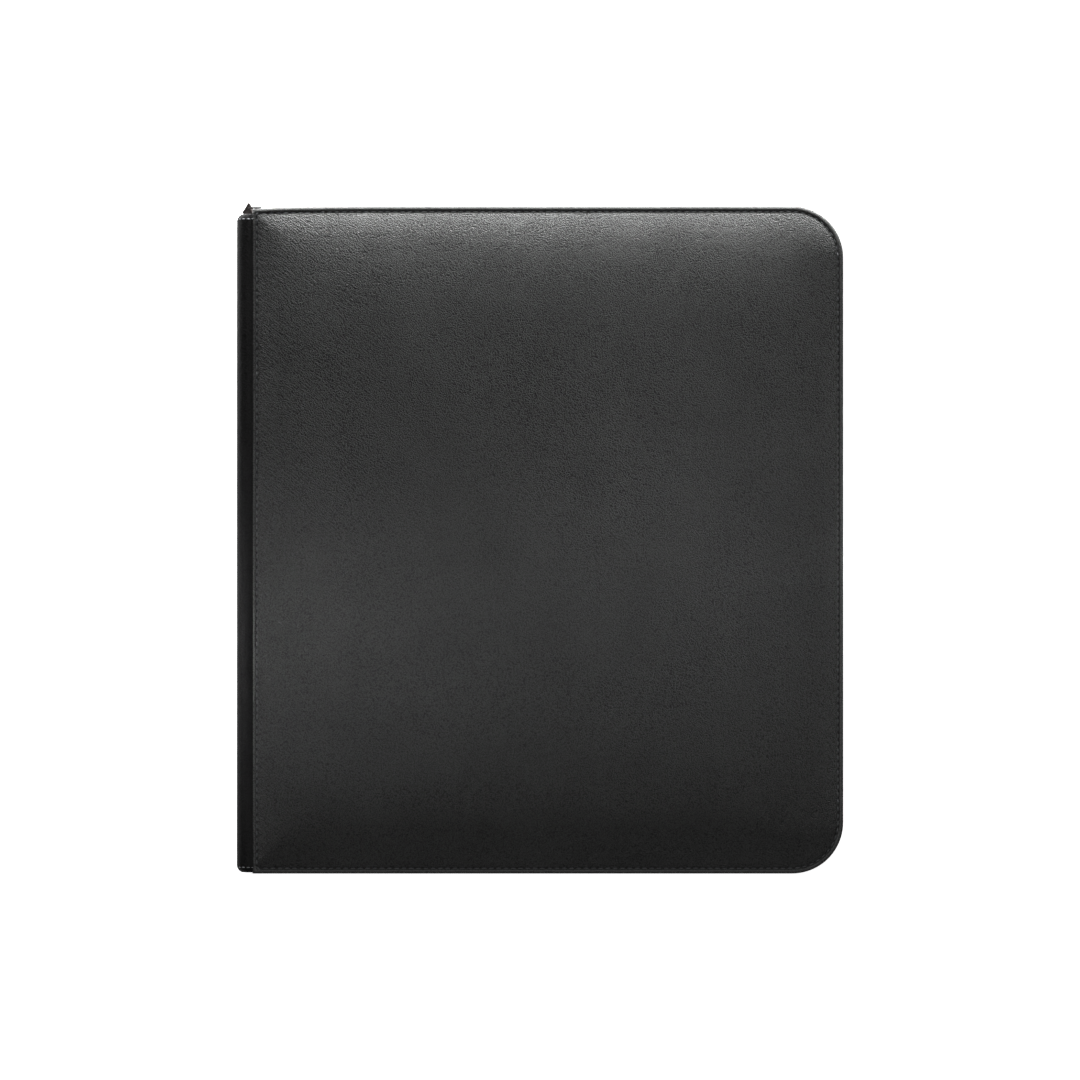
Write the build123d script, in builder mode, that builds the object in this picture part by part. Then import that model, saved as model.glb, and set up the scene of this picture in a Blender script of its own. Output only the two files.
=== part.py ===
from build123d import *
import math
import os

os.makedirs("parts", exist_ok=True)

# Zip-round trading card binder, lying shut on its back cover, its slider parked at the
# spine's head end. Millimetres. X runs from the spine to the fore edge, Y from the tail
# to the head, Z from the back cover to the front cover. The origin is the middle of the
# back cover's outer face. "From the spine" is measured in X from the spine's outer face.

# ---- the case
case_width = 320.0
case_height = 352.0
case_thickness = 40.0
corner_radius = 27.0        # the two fore-edge corners of each cover
hinge_radius = 6.0          # outside bend of the leather between a cover and the spine

# ---- layers of a cover, from its outer face inwards
skin_t = 0.8
padding_t = 1.0
board_t = 2.2
liner_t = 0.5
rim_radius = 1.2            # rounded edge of the outer face
padding_inset = 1.1
seam_past_bend = 2.3        # from the bend's end to where a cover's skin meets its hinge strip
board_past_bend = 1.0
liner_past_bend = 0.5

# ---- edge stitching
stitch_inset = 2.8
stitch_past_seam = 2.3      # the stitch row along the hinge seam
groove_width = 0.8
groove_depth = 0.4
thread_width = 0.6
thread_height = 0.3

# ---- spine
strip_head_gap = 4.0        # the spine strip stops short of the cover's head edge
strip_tail_gap = 0.6        # and of its tail edge
spine_board_t = 2.0
spine_liner_t = 0.5
binding_t = 0.8
spine_board_end_gap = 11.0  # from the case's head and tail
spine_board_clearance = 0.1
spine_liner_overlap = 0.5   # past the board at each edge
binding_margin = 0.4        # past the outermost ribs
rib_t = 0.4

# ---- leaves of card pockets
leaf_count = 20
leaf_core_t = 0.3
film_t = 0.15
leaf_cover_clearance = 0.9  # the outermost leaves to the cover liners
first_crease_from_spine = 5.6
crease_stagger = 1.0        # each leaf nearer the middle of the block hinges this much further out
crease_to_leaf = 0.3
rib_to_crease = 0.1
film_from_spine = 21.0
leaf_fore_margin = 14.0
leaf_end_margin = 27.5
pocket_columns = 4
pocket_rows = 3
weld_width = 3.0
slot_width = 1.6            # the side opening of a pocket
slot_end_gap = 3.0

# ---- zip
tape_t = 0.7
wall_inset = 6.8            # the tape's middle surface, in from the cover's edge
wall_clearance = 0.15
flange_inset = 1.3
flange_past_seam = 0.2
tape_from_spine = 1.8
tape_gap = 1.6              # between the edges of the two tapes
hinge_relief_height = 0.5   # the tape clears the hinge leather by this much
coil_t = 1.9
coil_width = 2.9
coil_gap = 1.0
coil_from_spine = 3.4
stop_from_spine = 1.9
stop_length = 1.2
stop_inner_t = 0.6
stop_outer_t = 2.05
start_stop_width = 8.2
end_stop_width = 3.45
end_stop_gap = 0.7
front_notch_from_spine = 22.5
front_notch_height = 5.8    # above the middle of the thickness
tab_length = 22.2
tab_t = 0.6
tab_from_tape = 1.35
tab_low = 8.0               # below the middle of the thickness
tab_high = 7.5              # above it
tab_foot_low = 10.0
tab_foot_high = 7.5

# ---- slider, its bail and its pull
slider_clearance = 0.2      # between the slider and the tape or the coils
slider_length = 13.0
slider_plate_t = 0.9
slider_rear_width = 9.0
slider_nose_width = 9.8
rail_to_tape = 0.3
post_width = 0.7
post_start = 3.6            # forward of the slider's middle
post_end = 6.0
bail_gap = 2.4
bail_beam_t = 1.0
bail_width = 2.4
bail_leg_length = 1.2
bail_rear_leg = -3.6        # middle of each leg, from the slider's middle
bail_front_leg = 2.4
pull_t = 1.0
pull_half_width = 2.9       # at its top end, from where it tapers to the tip
pull_tip_radius = 0.55
pull_top = 2.7              # above the rear leg's middle
pull_hole_half_width = 1.5
pull_hole_top = 1.5
pull_hole_bottom = 2.0
pull_rim_clearance = 0.25
pull_floor_gap = 1.0

# ---- worked out from the sizes above
cover_t = skin_t + padding_t + board_t + liner_t
seam_from_spine = hinge_radius + seam_past_bend
board_from_spine = hinge_radius + board_past_bend
liner_from_spine = hinge_radius + liner_past_bend
stitch_from_spine = seam_from_spine + stitch_past_seam
flange_from_spine = seam_from_spine + flange_past_seam
leaf_t = leaf_core_t + 2 * film_t
turn_in_width = wall_inset - tape_t / 2 - wall_clearance
board_inset = wall_inset + tape_t / 2 + wall_clearance
spine_x = -case_width / 2
fore_x = case_width / 2
head_y = case_height / 2
mid_z = case_thickness / 2
mid_plane = Plane.XY.offset(mid_z)
wall_y = head_y - wall_inset
flange_depth = cover_t - skin_t - tape_t
cutter = 4 * case_thickness   # longer than anything that it cuts across


def panel(from_spine, inset):
    """Face of a cover's shape: square at the spine side, round at both fore-edge corners."""
    left = spine_x + from_spine
    right = fore_x - inset
    with BuildSketch() as outline:
        with Locations(((left + right) / 2, 0)):
            Rectangle(right - left, case_height - 2 * inset)
        fillet(outline.vertices().group_by(Axis.X)[-1], radius=corner_radius - inset)
    return outline.sketch_local


def band(from_spine, outer_inset, inner_inset):
    """Strip along the head, the fore edge and the tail, open towards the spine."""
    with BuildSketch() as strip:
        add(panel(from_spine, outer_inset))
        add(panel(from_spine - 1, inner_inset), mode=Mode.SUBTRACT)
    return strip.sketch_local


def ring(from_spine, inset, width):
    """Closed loop of the given width about the stitch line."""
    with BuildSketch() as loop:
        add(panel(from_spine - width / 2, inset - width / 2))
        add(panel(from_spine + width / 2, inset + width / 2), mode=Mode.SUBTRACT)
    return loop.sketch_local


# ---- cover: leather skin, with its edge turned in over the board
with BuildPart() as cover_skin:
    with BuildSketch():
        add(panel(seam_from_spine, 0))
    extrude(amount=cover_t)
    fore_and_ends = cover_skin.faces().sort_by(Axis.Z)[0].edges()
    fillet(fore_and_ends.sort_by(Axis.X)[1:], radius=rim_radius)
    with BuildSketch(Plane.XY.offset(skin_t)):
        add(panel(seam_from_spine - 1, skin_t))
    extrude(amount=cover_t - 2 * skin_t, mode=Mode.SUBTRACT)
    with BuildSketch(Plane.XY.offset(cover_t - skin_t)):
        add(panel(seam_from_spine - 1, turn_in_width))
    extrude(amount=skin_t, mode=Mode.SUBTRACT)
    with BuildSketch():
        add(ring(stitch_from_spine, stitch_inset, groove_width))
    extrude(amount=groove_depth, mode=Mode.SUBTRACT)

# ---- cover: foam padding under the leather
with BuildPart() as cover_padding:
    with BuildSketch(Plane.XY.offset(skin_t)):
        add(panel(board_from_spine, padding_inset))
    extrude(amount=padding_t)

# ---- cover: stiff board
with BuildPart() as cover_board:
    with BuildSketch(Plane.XY.offset(skin_t + padding_t)):
        add(panel(board_from_spine, board_inset))
    extrude(amount=board_t)

# ---- cover: inside liner
with BuildPart() as cover_liner:
    with BuildSketch(Plane.XY.offset(skin_t + padding_t + board_t)):
        add(panel(liner_from_spine, board_inset))
    extrude(amount=liner_t)

# ---- cover: edge stitching, seated in its pressed line
with BuildPart() as edge_thread:
    with BuildSketch(Plane.XY.offset(groove_depth - thread_height)):
        add(ring(stitch_from_spine, stitch_inset, thread_width))
    extrude(amount=thread_height)

# ---- hinge strip: flat from the seam, then half of the bend up to its 45 degree cut
bend_centre = (spine_x + hinge_radius, hinge_radius)
inner_bend_radius = hinge_radius - skin_t
strip_length = case_height - strip_head_gap - strip_tail_gap
strip_end = Plane.XZ.offset(strip_head_gap - head_y)
with BuildPart() as hinge_strip:
    with BuildSketch(strip_end):
        with BuildLine():
            outer_bend = CenterArc(bend_centre, hinge_radius, 225, 45)
            inner_bend = CenterArc(bend_centre, inner_bend_radius, 225, 45)
            Polyline(
                outer_bend @ 1,
                (spine_x + seam_from_spine, 0),
                (spine_x + seam_from_spine, skin_t),
                inner_bend @ 1,
            )
            Line(outer_bend @ 0, inner_bend @ 0)
        make_face()
    extrude(amount=strip_length)

# ---- both covers: the front one is the back one mirrored about the middle of the thickness
cover_pieces = {
    "cover_skin": cover_skin,
    "cover_padding": cover_padding,
    "cover_board": cover_board,
    "cover_liner": cover_liner,
    "edge_thread": edge_thread,
    "hinge_strip": hinge_strip,
}
for piece_name, piece in cover_pieces.items():
    piece.part.label = f"back_{piece_name}"
    export_step(piece.part, f"parts/back_{piece_name}.step")
    with BuildPart() as front_piece:
        mirror(piece.part, about=mid_plane)
    front_piece.part.label = f"front_{piece_name}"
    export_step(front_piece.part, f"parts/front_{piece_name}.step")

# ---- spine strip: the leather's flat back with the other half of each bend
with BuildPart() as spine_strip:
    with BuildSketch(strip_end):
        with BuildLine():
            outer_half = CenterArc(bend_centre, hinge_radius, 180, 45)
            inner_half = CenterArc(bend_centre, inner_bend_radius, 180, 45)
            Polyline(
                outer_half @ 0,
                (spine_x, mid_z),
                (spine_x + skin_t, mid_z),
                inner_half @ 0,
            )
            Line(outer_half @ 1, inner_half @ 1)
        make_face()
    extrude(amount=strip_length)
    mirror(about=mid_plane)
spine_strip.part.label = "spine_strip"
export_step(spine_strip.part, "parts/spine_strip.step")

# ---- spine board
spine_board_height = case_thickness - 2 * (hinge_radius + spine_board_clearance)
spine_board_length = case_height - 2 * spine_board_end_gap
with BuildPart() as spine_board:
    with Locations((spine_x + skin_t + spine_board_t / 2, 0, mid_z)):
        Box(spine_board_t, spine_board_length, spine_board_height)
spine_board.part.label = "spine_board"
export_step(spine_board.part, "parts/spine_board.step")

# ---- spine liner
liner_left = skin_t + spine_board_t
with BuildPart() as spine_liner:
    with Locations((spine_x + liner_left + spine_liner_t / 2, 0, mid_z)):
        Box(spine_liner_t, spine_board_length, spine_board_height + 2 * spine_liner_overlap)
spine_liner.part.label = "spine_liner"
export_step(spine_liner.part, "parts/spine_liner.step")

# ---- places of the leaves, first at the back cover, last at the front cover
first_leaf_z = cover_t + leaf_cover_clearance + leaf_t / 2
leaf_pitch = (case_thickness - 2 * first_leaf_z) / (leaf_count - 1)
leaf_height = case_height - 2 * leaf_end_margin
leaf_places = []
for index in range(leaf_count):
    steps_from_cover = min(index, leaf_count - 1 - index)
    crease = first_crease_from_spine + crease_stagger * steps_from_cover
    leaf_places.append((spine_x + crease, first_leaf_z + index * leaf_pitch))

# ---- binding strip: glued to the spine liner, with one rib for each leaf's crease
binding_left = liner_left + spine_liner_t
binding_x = spine_x + binding_left + binding_t
binding_low = first_leaf_z - rib_t / 2 - binding_margin
with BuildPart() as binding_strip:
    with Locations((binding_x - binding_t / 2, 0, mid_z)):
        Box(binding_t, leaf_height, case_thickness - 2 * binding_low)
    for crease_x, leaf_z in leaf_places:
        rib_length = crease_x - rib_to_crease - binding_x
        with Locations((binding_x + rib_length / 2, 0, leaf_z)):
            Box(rib_length, leaf_height, rib_t)
binding_strip.part.label = "binding_strip"
export_step(binding_strip.part, "parts/binding_strip.step")

# ---- leaves: a core sheet with a pocket film welded to each side
leaf_right = fore_x - leaf_fore_margin
film_left = spine_x + film_from_spine
pocket_pitch_x = (leaf_right - film_left - weld_width) / pocket_columns
pocket_pitch_y = (leaf_height - weld_width) / pocket_rows
slot_length = pocket_pitch_y - weld_width - 2 * slot_end_gap
first_slot_x = film_left + weld_width + slot_width / 2
slot_middle_x = first_slot_x + (pocket_columns - 1) / 2 * pocket_pitch_x
with BuildSketch() as film_outline:
    with Locations(((film_left + leaf_right) / 2, 0)):
        Rectangle(leaf_right - film_left, leaf_height)
    with Locations((slot_middle_x, 0)):
        with GridLocations(pocket_pitch_x, pocket_pitch_y, pocket_columns, pocket_rows):
            Rectangle(slot_width, slot_length, mode=Mode.SUBTRACT)
for index, (crease_x, leaf_z) in enumerate(leaf_places):
    core_left = crease_x + crease_to_leaf
    with BuildPart() as leaf:
        with BuildSketch(Plane.XY.offset(leaf_z - leaf_core_t / 2)):
            with Locations(((core_left + leaf_right) / 2, 0)):
                Rectangle(leaf_right - core_left, leaf_height)
        extrude(amount=leaf_core_t)
    with BuildPart() as films:
        for film_z in (leaf_z - leaf_t / 2, leaf_z + leaf_core_t / 2):
            with BuildSketch(Plane.XY.offset(film_z)):
                add(film_outline.sketch)
            extrude(amount=film_t)
    leaf_name = f"leaf_{index + 1:02d}"
    leaf_group = Compound(label=leaf_name, children=[*leaf.part.solids(), *films.part.solids()])
    export_step(leaf_group, f"parts/{leaf_name}.step")

# ---- zip tapes: a flange caught under each cover's turned-in edge, and a wall up to the chain
tape_edge_z = mid_z - tape_gap / 2
relief_height = cover_t + hinge_relief_height
wall_outer = wall_inset - tape_t / 2
wall_inner = wall_inset + tape_t / 2
with BuildPart() as back_zip_tape:
    with BuildSketch(Plane.XY.offset(flange_depth)):
        add(band(tape_from_spine, wall_outer, wall_inner))
    extrude(amount=tape_edge_z - flange_depth)
    with BuildSketch(Plane.XY.offset(flange_depth)):
        add(band(tape_from_spine, flange_inset, wall_inner))
    extrude(amount=tape_t)
    with Locations((spine_x + flange_from_spine, 0, relief_height)):
        Box(cutter, 2 * case_height, cutter, align=(Align.MAX, Align.CENTER, Align.MAX), mode=Mode.SUBTRACT)
back_zip_tape.part.label = "back_zip_tape"
export_step(back_zip_tape.part, "parts/back_zip_tape.step")

notch_corner = (spine_x + front_notch_from_spine, 0, mid_z + front_notch_height)
with BuildPart() as front_zip_tape:
    mirror(back_zip_tape.part, about=mid_plane)
    with Locations(notch_corner):
        Box(cutter, case_height, cutter, align=(Align.MAX, Align.MIN, Align.MAX), mode=Mode.SUBTRACT)
front_zip_tape.part.label = "front_zip_tape"
export_step(front_zip_tape.part, "parts/front_zip_tape.step")

# ---- zip coils: one row sewn to each tape, facing across the gap that the slider's post runs in
with BuildPart() as back_zip_coil:
    with BuildSketch(Plane.XY.offset(mid_z - coil_gap / 2 - coil_width)):
        add(band(coil_from_spine, wall_outer - coil_t, wall_outer))
    extrude(amount=coil_width)
back_zip_coil.part.label = "back_zip_coil"
export_step(back_zip_coil.part, "parts/back_zip_coil.step")

with BuildPart() as front_zip_coil:
    mirror(back_zip_coil.part, about=mid_plane)
    with Locations(notch_corner):
        Box(cutter, case_height, cutter, align=(Align.MAX, Align.MIN, Align.MAX), mode=Mode.SUBTRACT)
front_zip_coil.part.label = "front_zip_coil"
export_step(front_zip_coil.part, "parts/front_zip_coil.step")

# ---- end stops at the tail: metal clips over the tapes' edges
stop_x = spine_x + stop_from_spine + stop_length / 2
stop_inner_y = wall_y - tape_t / 2 - stop_inner_t
stop_outer_y = wall_y + tape_t / 2 + stop_outer_t
stop_span = stop_outer_y - stop_inner_y
stop_middle_y = (stop_outer_y + stop_inner_y) / 2
end_stop_top = mid_z - end_stop_gap / 2
with BuildPart() as back_zip_end_stop:
    with Locations((stop_x, -stop_middle_y, end_stop_top)):
        Box(stop_length, stop_span, end_stop_width, align=(Align.CENTER, Align.CENTER, Align.MAX))
    with Locations((stop_x, -wall_y, tape_edge_z)):
        Box(2 * stop_length, tape_t, cutter, align=(Align.CENTER, Align.CENTER, Align.MAX), mode=Mode.SUBTRACT)
back_zip_end_stop.part.label = "back_zip_end_stop"
export_step(back_zip_end_stop.part, "parts/back_zip_end_stop.step")

with BuildPart() as front_zip_end_stop:
    mirror(back_zip_end_stop.part, about=mid_plane)
front_zip_end_stop.part.label = "front_zip_end_stop"
export_step(front_zip_end_stop.part, "parts/front_zip_end_stop.step")

# ---- start stop at the head: a wider clip that the parked slider backs up to
with BuildPart() as zip_start_stop:
    with Locations((stop_x, stop_middle_y, mid_z)):
        Box(stop_length, stop_span, start_stop_width)
    with Locations((stop_x, wall_y, tape_edge_z)):
        Box(2 * stop_length, tape_t, cutter, align=(Align.CENTER, Align.CENTER, Align.MAX), mode=Mode.SUBTRACT)
zip_start_stop.part.label = "zip_start_stop"
export_step(zip_start_stop.part, "parts/zip_start_stop.step")

# ---- fabric tab behind the parked slider, its foot sewn to the back tape
tab_outer_y = wall_y - tape_t / 2 - tab_from_tape
tab_middle_x = spine_x + tape_from_spine + tab_length / 2
with BuildPart() as zip_end_tab:
    with Locations((tab_middle_x, tab_outer_y - tab_t, mid_z - tab_low)):
        Box(tab_length, tab_t, tab_low + tab_high, align=(Align.CENTER, Align.MIN, Align.MIN))
    with Locations((tab_middle_x, tab_outer_y - tab_t, mid_z - tab_foot_low)):
        Box(
            tab_length,
            tab_t + tab_from_tape,
            tab_foot_low - tab_foot_high,
            align=(Align.CENTER, Align.MIN, Align.MIN),
        )
zip_end_tab.part.label = "zip_end_tab"
export_step(zip_end_tab.part, "parts/zip_end_tab.step")

# ---- slider body: two plates joined by a post at the nose, with rails down both sides
stop_to_slider = coil_from_spine - stop_from_spine - stop_length
slider_x = spine_x + stop_from_spine + stop_length + stop_to_slider + slider_length / 2
inner_plate_y = wall_y - tape_t / 2 - slider_clearance
outer_plate_y = wall_y + tape_t / 2 + coil_t + slider_clearance
rail_y = wall_y + tape_t / 2 + rail_to_tape
rail_inner_z = coil_gap / 2 + coil_width + slider_clearance
with BuildPart() as zip_slider:
    plate_corners = [
        (slider_x - slider_length / 2, mid_z - slider_rear_width / 2),
        (slider_x + slider_length / 2, mid_z - slider_nose_width / 2),
        (slider_x + slider_length / 2, mid_z + slider_nose_width / 2),
        (slider_x - slider_length / 2, mid_z + slider_rear_width / 2),
    ]
    with BuildSketch(Plane.XZ.offset(-outer_plate_y)):
        Polygon(*plate_corners, align=None)
    extrude(amount=-slider_plate_t)
    with BuildSketch(Plane.XZ.offset(-inner_plate_y)):
        Polygon(*plate_corners, align=None)
    extrude(amount=slider_plate_t)
    with BuildSketch(Plane.XZ.offset(-outer_plate_y)):
        Polygon(*plate_corners, align=None)
        with Locations((slider_x, mid_z)):
            Rectangle(2 * slider_length, 2 * rail_inner_z, mode=Mode.SUBTRACT)
    extrude(amount=outer_plate_y - rail_y)
    with BuildSketch(Plane.XZ.offset(-outer_plate_y)):
        with Locations((slider_x + (post_start + post_end) / 2, mid_z)):
            Rectangle(post_end - post_start, post_width)
    extrude(amount=outer_plate_y - inner_plate_y)
zip_slider.part.label = "zip_slider"
export_step(zip_slider.part, "parts/zip_slider.step")

# ---- bail: the bridge on the slider that holds the pull
bail_rear = bail_rear_leg - bail_leg_length / 2
bail_front = bail_front_leg + bail_leg_length / 2
bail_base_y = outer_plate_y + slider_plate_t
with BuildPart() as zip_slider_bail:
    with Locations((slider_x + (bail_rear + bail_front) / 2, bail_base_y + bail_gap, mid_z)):
        Box(bail_front - bail_rear, bail_beam_t, bail_width, align=(Align.CENTER, Align.MIN, Align.CENTER))
    for leg_x in (bail_rear_leg, bail_front_leg):
        with Locations((slider_x + leg_x, bail_base_y, mid_z)):
            Box(bail_leg_length, bail_gap, bail_width, align=(Align.CENTER, Align.MIN, Align.CENTER))
zip_slider_bail.part.label = "zip_slider_bail"
export_step(zip_slider_bail.part, "parts/zip_slider_bail.step")

# ---- pull: hangs on the bail's rear leg and leans out over the back cover's edge
pivot = Vector(slider_x + bail_rear_leg, bail_base_y + bail_gap / 2, mid_z)
lean = math.atan((head_y + pull_rim_clearance + pull_t / 2 - pivot.Y) / (mid_z - cover_t))
pull_length = (mid_z - pull_floor_gap) / math.cos(lean)
pull_normal = (0, math.cos(lean), math.sin(lean))
pull_plane = Plane(origin=pivot, x_dir=(1, 0, 0), z_dir=pull_normal)   # its Y points at the tip
with BuildPart() as zip_pull:
    with BuildSketch(pull_plane):
        with BuildLine():
            tip = CenterArc((0, pull_length - pull_tip_radius), pull_tip_radius, 6, 168)
            Polyline(
                tip @ 0,
                (pull_half_width, -pull_top),
                (-pull_half_width, -pull_top),
                tip @ 1,
            )
        make_face()
        with Locations((0, (pull_hole_bottom - pull_hole_top) / 2)):
            Rectangle(2 * pull_hole_half_width, pull_hole_top + pull_hole_bottom, mode=Mode.SUBTRACT)
    extrude(amount=pull_t / 2, both=True)
zip_pull.part.label = "zip_pull"
export_step(zip_pull.part, "parts/zip_pull.step")
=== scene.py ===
import itertools
import logging
import math
from dataclasses import dataclass
from enum import Enum
from typing import Sequence

import bmesh
import bpy
import numpy as np
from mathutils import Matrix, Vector


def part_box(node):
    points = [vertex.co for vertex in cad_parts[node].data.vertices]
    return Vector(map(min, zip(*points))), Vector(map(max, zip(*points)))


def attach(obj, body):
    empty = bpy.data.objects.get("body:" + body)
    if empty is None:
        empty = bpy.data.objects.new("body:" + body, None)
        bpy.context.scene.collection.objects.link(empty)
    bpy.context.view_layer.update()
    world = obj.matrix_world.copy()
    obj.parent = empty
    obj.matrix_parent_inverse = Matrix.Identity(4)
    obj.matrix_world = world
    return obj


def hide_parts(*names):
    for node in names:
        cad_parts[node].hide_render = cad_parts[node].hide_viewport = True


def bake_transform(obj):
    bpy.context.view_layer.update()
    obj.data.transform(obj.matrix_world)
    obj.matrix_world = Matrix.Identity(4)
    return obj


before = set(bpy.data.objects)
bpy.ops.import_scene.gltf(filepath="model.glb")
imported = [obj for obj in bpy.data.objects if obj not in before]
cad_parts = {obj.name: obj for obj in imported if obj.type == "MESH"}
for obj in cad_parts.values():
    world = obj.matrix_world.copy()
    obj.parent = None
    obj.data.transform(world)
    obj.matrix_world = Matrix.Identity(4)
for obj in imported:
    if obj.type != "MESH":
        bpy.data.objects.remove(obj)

MM = 0.001
GRAIN = "grain"  # how strongly the leather's grain stands out at a point
SHARP_FROM = math.radians(65)  # edges that turn further than this stay sharp
LOG = logging.getLogger("card_binder")


class Side(Enum):
    """Which of the two covers a piece belongs to."""

    BACK = "back"
    FRONT = "front"

    @property
    def body(self) -> str:
        """Name of the CAD body of this cover."""
        return f"{self.value}_cover"

    @property
    def outward(self) -> float:
        """Sign of Z on the way out of the case through this cover."""
        return 1.0 if self is Side.FRONT else -1.0


@dataclass(frozen=True)
class CaseSize:
    """Places and sizes shared by every sub-assembly, in metres, in the row frame."""

    spine_x: float
    fore_x: float
    head_y: float
    thickness: float
    seam_x: float
    stitch_x: float
    strip_head_y: float
    strip_tail_y: float
    corner_radius: float = 27 * MM
    hinge_radius: float = 6 * MM
    stitch_inset: float = 2.8 * MM
    turn_in: float = 6.3 * MM
    cover_depth: float = 4.5 * MM
    skin: float = 0.8 * MM

    @classmethod
    def from_frame(cls) -> "CaseSize":
        """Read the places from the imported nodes.

        Returns:
            The sizes of the case as the CAD model has them.
        """
        skin_low, skin_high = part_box("front_cover_skin")
        strip_low, strip_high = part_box("spine_strip")
        thread_low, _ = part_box("front_edge_thread")
        return cls(
            spine_x=strip_low.x,
            fore_x=skin_high.x,
            head_y=skin_high.y,
            thickness=skin_high.z,
            seam_x=skin_low.x,
            stitch_x=thread_low.x + 0.3 * MM,
            strip_head_y=strip_high.y,
            strip_tail_y=strip_low.y,
        )

    def face_z(self, side: Side) -> float:
        """Height of a cover's outer face."""
        return self.thickness if side is Side.FRONT else 0.0

    @property
    def middle_z(self) -> float:
        """Height of the middle of the thickness, between the two zip coils."""
        return self.thickness / 2


# ---------------------------------------------------------------- mesh helpers


def mesh_object(
    name: str, points: np.ndarray, faces: Sequence[Sequence[int]], smooth: bool = True
) -> bpy.types.Object:
    """Make an object at the origin whose place is in its mesh.

    Args:
        name: Name of the piece.
        points: Vertex positions, one row each, in metres.
        faces: Vertex indices of each face.
        smooth: Whether faces are shaded smooth.

    Returns:
        The linked object.
    """
    mesh = bpy.data.meshes.new(name)
    mesh.from_pydata([tuple(p) for p in points], [], [tuple(f) for f in faces])
    mesh.polygons.foreach_set("use_smooth", [smooth] * len(mesh.polygons))
    mesh.update()
    piece = bpy.data.objects.new(name, mesh)
    bpy.context.scene.collection.objects.link(piece)
    return piece


def set_grain(piece: bpy.types.Object, strength: Sequence[float]) -> None:
    """Write how strongly the leather's grain stands out at each vertex."""
    layer = piece.data.attributes.new(GRAIN, "FLOAT", "POINT")
    layer.data.foreach_set("value", np.asarray(strength, dtype=np.float32))


def tidy_mesh(piece: bpy.types.Object, merge: float = 1e-6) -> None:
    """Merge doubles, drop stray faces and turn every face outwards.

    Args:
        piece: The object whose mesh is cleaned.
        merge: Distance under which two vertices become one.
    """
    edit = bmesh.new()
    edit.from_mesh(piece.data)
    bmesh.ops.remove_doubles(edit, verts=edit.verts, dist=merge)
    bmesh.ops.dissolve_degenerate(edit, edges=edit.edges, dist=merge)
    bmesh.ops.recalc_face_normals(edit, faces=edit.faces)
    for edge in edit.edges:
        edge.smooth = not edge.is_manifold or edge.calc_face_angle(0) < SHARP_FROM
    edit.to_mesh(piece.data)
    edit.free()


def lattice_faces(
    rows: int, columns: int, wrap: bool = False, start: int = 0, flip: bool = False
) -> list[tuple]:
    """Quads between the points of a regular lattice.

    Args:
        rows: Number of point rows.
        columns: Number of points in a row.
        wrap: Whether the last point of a row joins the first.
        start: Index of the first point.
        flip: Whether the faces turn the other way.

    Returns:
        One tuple of four indices for each quad.
    """
    faces = []
    last = columns if wrap else columns - 1
    for row in range(rows - 1):
        for column in range(last):
            a = start + row * columns + column
            b = start + row * columns + (column + 1) % columns
            quad = (a, b, b + columns, a + columns)
            faces.append(quad[::-1] if flip else quad)
    return faces


def thick_sheet(name: str, outer: np.ndarray, inner: np.ndarray) -> bpy.types.Object:
    """Closed sheet between two lattices of the same shape.

    Args:
        name: Name of the piece.
        outer: Points of the outer face, rows by columns by three.
        inner: Points of the inner face, laid out the same way.

    Returns:
        The closed object.
    """
    rows, columns, _ = outer.shape
    count = rows * columns
    faces = lattice_faces(rows, columns) + lattice_faces(rows, columns, start=count, flip=True)
    top = [row * columns for row in range(rows)]
    border = list(range(columns)) + [r + columns - 1 for r in top[1:]]
    border += list(range(count - 2, count - columns - 1, -1)) + top[-2:0:-1]
    for a, b in zip(border, border[1:] + border[:1]):
        faces.append((b, a, a + count, b + count))
    piece = mesh_object(name, np.concatenate([outer.reshape(-1, 3), inner.reshape(-1, 3)]), faces)
    set_grain(piece, np.ones(2 * count))
    tidy_mesh(piece)
    return piece


BOX_SIDES = [(0, 1, 3, 2), (4, 6, 7, 5), (0, 4, 5, 1), (2, 3, 7, 6), (0, 2, 6, 4), (1, 5, 7, 3)]


def box_corners(low: Sequence[float], high: Sequence[float]) -> np.ndarray:
    """Corners of a box, in the order that BOX_SIDES joins them."""
    return np.array(list(itertools.product(*zip(low, high))))


def make_plain(piece: bpy.types.Object) -> None:
    """Turn a piece's modifiers into a plain mesh and remove them.

    Args:
        piece: The object whose modifiers are applied.
    """
    graph = bpy.context.evaluated_depsgraph_get()
    mesh = bpy.data.meshes.new_from_object(piece.evaluated_get(graph))
    piece.modifiers.clear()
    piece.data = mesh
    mesh.polygons.foreach_set("use_smooth", [True] * len(mesh.polygons))


def bevelled_copy(node: str, name: str, width: float, segments: int = 3) -> bpy.types.Object:
    """Copy a CAD node's mesh, merge its loose triangles and round its edges.

    Args:
        node: The CAD node that the piece stands for.
        name: Name of the new piece.
        width: Width of the rounding.
        segments: Faces across each rounding.

    Returns:
        The rounded piece, not yet riding on a body.
    """
    piece = bpy.data.objects.new(name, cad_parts[node].data.copy())
    piece.data.materials.clear()
    bpy.context.scene.collection.objects.link(piece)
    edit = bmesh.new()
    edit.from_mesh(piece.data)
    bmesh.ops.remove_doubles(edit, verts=edit.verts, dist=1e-6)
    bmesh.ops.dissolve_limit(edit, angle_limit=math.radians(1), verts=edit.verts, edges=edit.edges)
    sharp = [e for e in edit.edges if e.is_manifold and e.calc_face_angle(0) > math.radians(25)]
    rounding = {"offset": width, "segments": segments, "profile": 0.5, "clamp_overlap": True}
    bmesh.ops.bevel(edit, geom=sharp, affect="EDGES", **rounding)
    bmesh.ops.recalc_face_normals(edit, faces=edit.faces)
    edit.to_mesh(piece.data)
    edit.free()
    piece.data.polygons.foreach_set("use_smooth", [False] * len(piece.data.polygons))
    return piece


def ease(value: np.ndarray | float) -> np.ndarray | float:
    """Smooth step from 0 to 1."""
    t = np.clip(value, 0.0, 1.0)
    return t * t * (3 - 2 * t)


# ---------------------------------------------------------------- materials


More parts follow.
